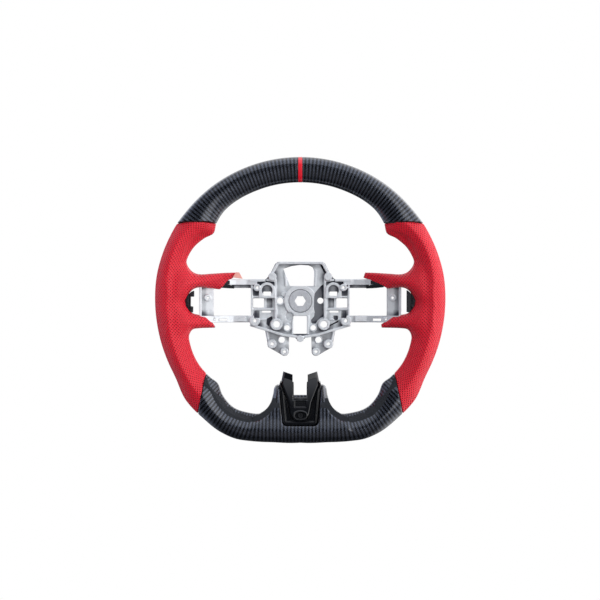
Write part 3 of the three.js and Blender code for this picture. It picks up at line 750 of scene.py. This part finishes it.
def grip(side):
    """One side's leather and the foam inside it; the left one is the right one's form turned over."""
    space = Space((78, -66, -150), (190, -2, 104), FINE)
    beyond = tail_ends(space, side)
    whole = grip_field(space)
    form = faceted(space, whole, beyond)
    joints = np.maximum(top_joint(space) + JOINT_GAP, -bottom_zone(space, JOINT_GAP))
    inside = form + LEATHER
    outer = clip(np.maximum(form, beyond), joints, 1.2)
    leather = space.mesh(f"leather_skin_{side}", np.maximum(outer, -inside))
    foam = space.mesh(f"foam_body_{side}", foam_field(space, whole, inside, beyond, joints))
    stitches = stitch_row(side, leather)
    if side == "left":
        for piece in (leather, foam, stitches):
            flip(piece)
    surface_map(leather, "side")
    dress(foam, "black_foam", f"foam_grip_{side}")
    dress(stitches, "red_thread", f"seam_thread_upper_{side}", f"seam_thread_lower_{side}")
    return dress(leather, "red_leather", f"leather_grip_{side}")


SEAM_RUNS = ((58, 74), (104, 136))     # degrees from 12 o'clock
STITCH_PITCH = 3.4
STITCH_HALF_LENGTH = 1.45
STITCH_RADIUS = 0.42
STITCH_RISE = 0.25     # height of a stitch's middle above its ends


def add_stitch(points, faces, place, lie, up):
    """One bead of thread, tapered at both ends, that lies one way on the leather."""
    rings, corners = 7, 8
    first = len(points)
    across = up.cross(lie)
    for i in range(rings):
        t = -1 + 2 * i / (rings - 1)
        width = STITCH_RADIUS * math.sqrt(max(1 - t**4, 0.02))
        rise = STITCH_RISE * (1 - t * t)
        for k in range(corners):
            angle = 2 * math.pi * k / corners
            away = across * math.cos(angle) + up * math.sin(angle)
            points.append(place + (lie * t * STITCH_HALF_LENGTH + up * rise + away * width) * MM)
    for i in range(rings - 1):
        for k in range(corners):
            a, b = first + i * corners + k, first + i * corners + (k + 1) % corners
            faces.append((a, b, b + corners, a + corners))
    faces.append(tuple(first + k for k in reversed(range(corners))))
    faces.append(tuple(first + (rings - 1) * corners + k for k in range(corners)))


def stitch_row(side, leather):
    """Short slanted stitches along the seam on the inner edge of the right grip."""
    tree = BVHTree.FromObject(leather, bpy.context.evaluated_depsgraph_get())
    turns, lengths = rim_run()
    marks = []
    for start, end in SEAM_RUNS:
        low, high = np.interp((start, end), turns, lengths)
        marks += list(np.interp(np.arange(low, high, STITCH_PITCH), lengths, turns))
    points, faces = [], []
    for turn in np.radians(marks):
        outward = Vector((math.sin(turn), 0, math.cos(turn)))
        forward = Vector((math.cos(turn), 0, -math.sin(turn)))
        inner_point = Vector((0, (RIM_Y - 3) * MM, 0)) + outward * 0.09
        hit, normal, _, _ = tree.ray_cast(inner_point, outward)
        if hit is None:
            continue
        lie = (forward * 0.8 + Vector((0, -0.6, 0))).normalized()
        lie = (lie - normal * lie.dot(normal)).normalized()
        add_stitch(points, faces, hit, lie, normal)
    return from_points(f"stitches_{side}", points, faces)


# ---------------------------------------------------------------- lower trim and window strips
SCREW_Z = -145.7       # height of the screw in the bracket's foot
SCREW_RADIUS = 3.3
PRONG_TIP_Z = -94.6    # inner corner of each prong's slanted top
PRONG_TIP_DROP = 7.4   # height of the upright end face below that top
BRACKET_FACE = 7.6     # how far the bracket's front is ahead of its middle depth


def round_foot(space, half_x, half_z):
    """An oval round the screw."""
    return oval(space.x, space.z - SCREW_Z, half_x, half_z, 2.4)


def prong_top(space):
    """Height of the prongs' slanted tops."""
    return PRONG_TIP_Z - (8.1 - np.abs(space.x)) * 0.333


def trim_middle(space):
    """Middle depth of the bracket, which stops leaning back just below the prongs' tops."""
    return low_spoke_y(np.minimum(space.z, prong_top(space) - PRONG_TIP_DROP))


def trim_slot(space):
    """The slot between the prongs."""
    return np.maximum(np.abs(space.x) - 7.7, -123.2 - space.z)


def trim_surround(space):
    """The U-shaped tray with a thin raised lip."""
    front = trim_middle(space) - space.y
    edge = outline_distance(FRAME_EDGE, space.x, space.z)
    bracket = outline_distance(BRACKET, space.x, space.z)
    level = 0.5 * low_spoke_y(space.z) - 20.0
    ahead = level - space.y
    tray = slab(edge, space.y, level - 1.5, 4.5, 1.6)
    tray = carve(tray, np.maximum(edge + 4.6, 3.2 - ahead), 0.7)
    lip = np.hypot(edge + 3.6, ahead - 5.6) - 0.75
    tray = blend(tray, np.maximum(lip, 0.6 - bracket), 0.6)
    tray = carve(tray, np.maximum(bracket - 0.35, -1.2 - front), 0.3)
    tray = carve(tray, trim_slot(space) - 0.5, 0.5)
    dress(space.mesh("trim_surround", tray), "gloss_trim", "trim_frame")


def trim_prongs(space):
    """The bracket: two prongs above a foot with a square pocket and the screw's oval recess."""
    middle = trim_middle(space)
    front = middle - space.y
    inner = outline_distance(BRACKET, space.x, space.z)
    half = 4.2
    body = slab(inner, space.y, middle - BRACKET_FACE + half, half, 1.3)
    bevel = (inner + 0.75 * (front - BRACKET_FACE) + 2.6) / 1.25
    body = clip(body, bevel, 0.7)
    body = np.maximum(body, space.z - prong_top(space))
    body = np.maximum(body, np.where(space.z > -108, 2.6 - front, -9))
    body = carve(body, trim_slot(space), 0.8)
    ridge = (front - BRACKET_FACE) * 0.6 + (space.z + 126.4) * 0.8
    ridge = np.where(np.abs(space.x) < 9.5, ridge, -9)
    body = clip(body, ridge, 0.5)
    square = np.maximum(np.abs(space.x) - 7.3, np.abs(space.z + 131) - 4.2)
    body = carve(body, slab(square, space.y, middle - 9, 5.4, 0.8), 0.5)
    ring = np.hypot(round_foot(space, 8.2, 5.3), front - 7.4) - 0.7
    body = blend(body, ring, 0.8)
    body = carve(body, np.maximum(round_foot(space, 7.4, 4.6), 4.2 - front), 0.7)
    dress(space.mesh("trim_prongs", body), "gloss_trim", "trim_bracket")


def trim_screw(space):
    """A flat round head with a cross recess."""
    middle = trim_middle(space)
    side, up = np.abs(space.x), np.abs(space.z - SCREW_Z)
    head = slab(np.hypot(side, up) - SCREW_RADIUS, space.y, middle - 4.6, 1.2, 0.7)
    cross = np.minimum(np.maximum(side - 0.5, up - 2.1), np.maximum(up - 0.5, side - 2.1))
    head = carve(head, np.maximum(cross, 4.6 - middle + space.y), 0.15)
    dress(space.mesh("trim_screw_head", head), "black_screw", "trim_screw")


def trim():
    """The three pieces in the pocket of the flat bottom."""
    space = Space((-29, -66, -161), (29, -20, -86), TRIM_STEP)
    trim_surround(space)
    trim_prongs(space)
    trim_screw(space)


# The window strips' front outlines, as seen on the right side.
STRIP = {
    "left": [(135.4, 13.2), (135.4, 5.6), (139.6, 5.4), (139.8, -6.6), (136.6, -7), (136.8, -14.6),
             (139, -14.4), (143.4, -10.6), (146, -5), (147, 0), (145.6, 5), (142.4, 9), (138.4, 12.2)],
    "right": [(135.8, 14), (135.8, -14), (138.6, -14.4), (143.2, -10.8), (146, -5), (147, 0), (145.6, 5),
              (142.4, 9), (138.2, 12.6)],
}


STRIP_NOTCHES = (-9.5, -3.2, 3.4, 9.2)          # heights of the notches in the strip's front
STRIP_CLIPS = ((144.2, 0.6), (142.4, -6.2))     # x and z of the two raised clips


def liner(side):
    """The black strip that holds the leather's edge in the spoke window."""
    space = Space((133, -52, -17), (149, -38, 16), 0.3)
    edge = outline_distance(STRIP[side], space.x, space.z)
    strip = slab(edge, space.y, -45.0, 3.0, 0.5)
    channel = np.maximum(np.abs(space.x - 141.6) - 0.9, space.y + 46.2)
    strip = carve(strip, channel, 0.3)
    for level in STRIP_NOTCHES:
        notch = np.maximum(np.abs(space.z - level) - 0.6, np.maximum(space.y + 46.8, 140.2 - space.x))
        strip = carve(strip, notch, 0.3)
    clips = []
    for x, z in STRIP_CLIPS:
        block = np.maximum(np.abs(space.x - x) - 1.0, np.abs(space.z - z) - 1.6)
        clips.append(slab(block, space.y, -47.6, 1.5, 0.5))
    strip = blend(strip, np.minimum(*clips), 0.5)
    piece = space.mesh(f"liner_strip_{side}", strip)
    if side == "left":
        flip(piece)
    return dress(piece, "liner_plastic", f"window_liner_{side}")


# ---------------------------------------------------------------- pieces refined from the CAD solids
PLATE_X = 119.5        # middle of the upright plate in each spoke
PLATE_LEAN = 0.16


def lean_plates(mesh):
    """Leans the two upright plates in the spokes the way the arms beside them lean."""
    place = vertex_values(mesh, "co")
    x, y, z = place.reshape(-1, 3).T / MM
    reach = np.abs(x)
    plate = (reach > 110) & (reach < 131) & (np.abs(z) < 24) & (y < -24) & (y > -38)
    place[1::3] -= np.where(plate, PLATE_LEAN * (reach - PLATE_X), 0) * MM
    mesh.vertices.foreach_set("co", place)
    mesh.update()


def refined(node, name, slot, step, rounds):
    """The CAD solid remeshed finely and relaxed, so that its edges and corners are rounded."""
    solid = frame["nodes"][node]
    piece = solid.copy()
    piece.data = solid.data.copy()
    piece.name = piece.data.name = name
    piece.parent = None
    for key in [k for k in piece.keys() if k.startswith("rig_")]:
        del piece[key]
    bpy.context.scene.collection.objects.link(piece)
    if node == "armature_casting":
        lean_plates(piece.data)
    remesh = piece.modifiers.new("remesh", "REMESH")
    remesh.mode, remesh.voxel_size, remesh.use_smooth_shade = "VOXEL", step * MM, True
    relax = piece.modifiers.new("relax", "SMOOTH")
    relax.factor, relax.iterations = 0.5, rounds
    depsgraph = bpy.context.evaluated_depsgraph_get()
    mesh = bpy.data.meshes.new_from_object(piece.evaluated_get(depsgraph))
    piece.modifiers.clear()
    piece.data = mesh
    mesh.name = name
    return dress(piece, slot, node)


def finish_nodes():
    """Gives each CAD node that is still shown its own finish."""
    slots = {part["node"]: part["material_slot"] for part in frame["record"]["subparts"]}
    for name, node in frame["nodes"].items():
        node.data.materials.clear()
        node.data.materials.append(LOOKS[slots[name]])


# ---------------------------------------------------------------- the wheel
finish_nodes()
carbon_top()
stripe()
carbon_bottom()
for side in ("left", "right"):
    grip(side)
    liner(side)
recess_shade(refined("armature_casting", "cast_frame", "cast_alloy", CASTING_STEP, 3))
refined("hub_insert", "hex_insert", "machined_steel", 0.35, 2)
trim()
refined("leather_flap_left", "leather_corner", "leather_underside", 0.3, 1)


# ---------------------------------------------------------------- camera, floor and light
def camera():
    """Square on to the rim's middle plane, 2 m in front of it."""
    data = bpy.data.cameras.new("camera")
    data.sensor_width = 36.0
    half_view = 383 * MM
    distance = 2.0
    data.angle = 2 * math.atan(half_view / distance)
    eye = bpy.data.objects.new("camera", data)
    eye.location = (-0.3 * MM, RIM_Y * MM - distance, 1.3 * MM)
    eye.rotation_euler = (math.pi / 2, 0, 0)
    bpy.context.scene.collection.objects.link(eye)
    bpy.context.scene.camera = eye


def softbox(name, place, size, power):
    """A rectangular lamp aimed at the wheel's middle, which doesn't show in reflections."""
    data = bpy.data.lights.new(name, "AREA")
    data.shape, data.size, data.size_y = "RECTANGLE", size[0], size[1]
    data.energy = power
    light = bpy.data.objects.new(name, data)
    light.location = place
    aim = Vector((0, RIM_Y * MM, 0)) - light.location
    light.rotation_euler = aim.to_track_quat("-Z", "Y").to_euler()
    light.visible_glossy = False
    bpy.context.scene.collection.objects.link(light)


# Soft patches of light round the object: the direction of each, the cosines at which it begins and
# is full, and its colour.
PATCHES = [
    ((0.05, -0.35, 0.94), 0.62, 0.84, (0.98, 1.02, 1.12)),
    ((0.92, 0.28, 0.05), 0.35, 0.85, (1.30, 1.29, 1.31)),
    ((-0.90, 0.35, 0.05), 0.50, 0.90, (0.50, 0.54, 0.68)),
    ((0.20, -0.70, -0.68), 0.70, 1.00, (0.20, 0.20, 0.22)),
    ((0.00, 0.75, 0.66), 0.60, 0.95, (0.80, 0.80, 0.82)),
    ((0.57, -0.82, 0.05), 0.84, 0.96, (1.75, 1.75, 1.77)),
]
DIM = (0.035, 0.037, 0.045)     # the light between the patches


def patch_light(tree):
    """The sum of all the patches, as a colour that depends on the direction."""
    link = tree.links.new
    where = tree.nodes.new("ShaderNodeTexCoord").outputs["Generated"]
    colour = None
    for direction, begins, full, tone in PATCHES:
        cosine = tree.nodes.new("ShaderNodeVectorMath")
        cosine.operation = "DOT_PRODUCT"
        link(where, cosine.inputs[0])
        cosine.inputs[1].default_value = Vector(direction).normalized()
        ramp = tree.nodes.new("ShaderNodeMapRange")
        ramp.interpolation_type = "SMOOTHSTEP"
        ramp.inputs["From Min"].default_value, ramp.inputs["From Max"].default_value = begins, full
        link(cosine.outputs["Value"], ramp.inputs["Value"])
        patch = tree.nodes.new("ShaderNodeVectorMath")
        patch.operation = "MULTIPLY_ADD"
        link(ramp.outputs[0], patch.inputs[0])
        patch.inputs[1].default_value = tone
        if colour is None:
            patch.inputs[2].default_value = DIM
        else:
            link(colour, patch.inputs[2])
        colour = patch.outputs[0]
    return colour


def studio():
    """White to the camera, patches of light to the wheel, and four soft lamps."""
    world = bpy.data.worlds.new("studio")
    bpy.context.scene.world = world
    world.use_nodes = True
    tree = world.node_tree
    link = tree.links.new
    back = tree.nodes["Background"]
    link(patch_light(tree), back.inputs["Color"])
    white = tree.nodes.new("ShaderNodeBackground")
    white.inputs["Color"].default_value = (1, 1, 1, 1)
    path = tree.nodes.new("ShaderNodeLightPath")
    pick = tree.nodes.new("ShaderNodeMixShader")
    link(path.outputs["Is Camera Ray"], pick.inputs[0])
    link(back.outputs[0], pick.inputs[1])
    link(white.outputs[0], pick.inputs[2])
    link(pick.outputs[0], tree.nodes["World Output"].inputs["Surface"])
    softbox("key", (2.5, -0.6, 0.1), (1.0, 1.2), 26)
    softbox("front", (0.5, -2.6, 0.3), (1.2, 1.2), 11)
    softbox("near_left", (-0.75, -0.55, 0.0), (0.3, 0.7), 2)
    softbox("rear", (-0.9, 2.3, 1.1), (1.4, 1.2), 24)


def floor():
    """A pale surface under the wheel, which only the camera sees."""
    x, near, far, level = 1.6, -1.9, 0.1, -0.42
    corners = [(-x, near, level), (x, near, level), (x, far, level), (-x, far, level)]
    plane = from_points("floor", corners, [(0, 1, 2, 3)])
    plane.visible_diffuse = plane.visible_glossy = False
    s = Shader("studio_floor", Roughness=0.9, Emission_Strength=1.0)
    paint = s.mix(s.noise(3.0), rgb(250, 250, 250), rgb(255, 255, 255))
    plane.data.materials.append(s.feed(Base_Color=paint, Emission_Color=paint))


camera()
studio()
floor()
bpy.context.scene.view_settings.view_transform = "Standard"
bpy.context.scene.view_settings.look = "None"
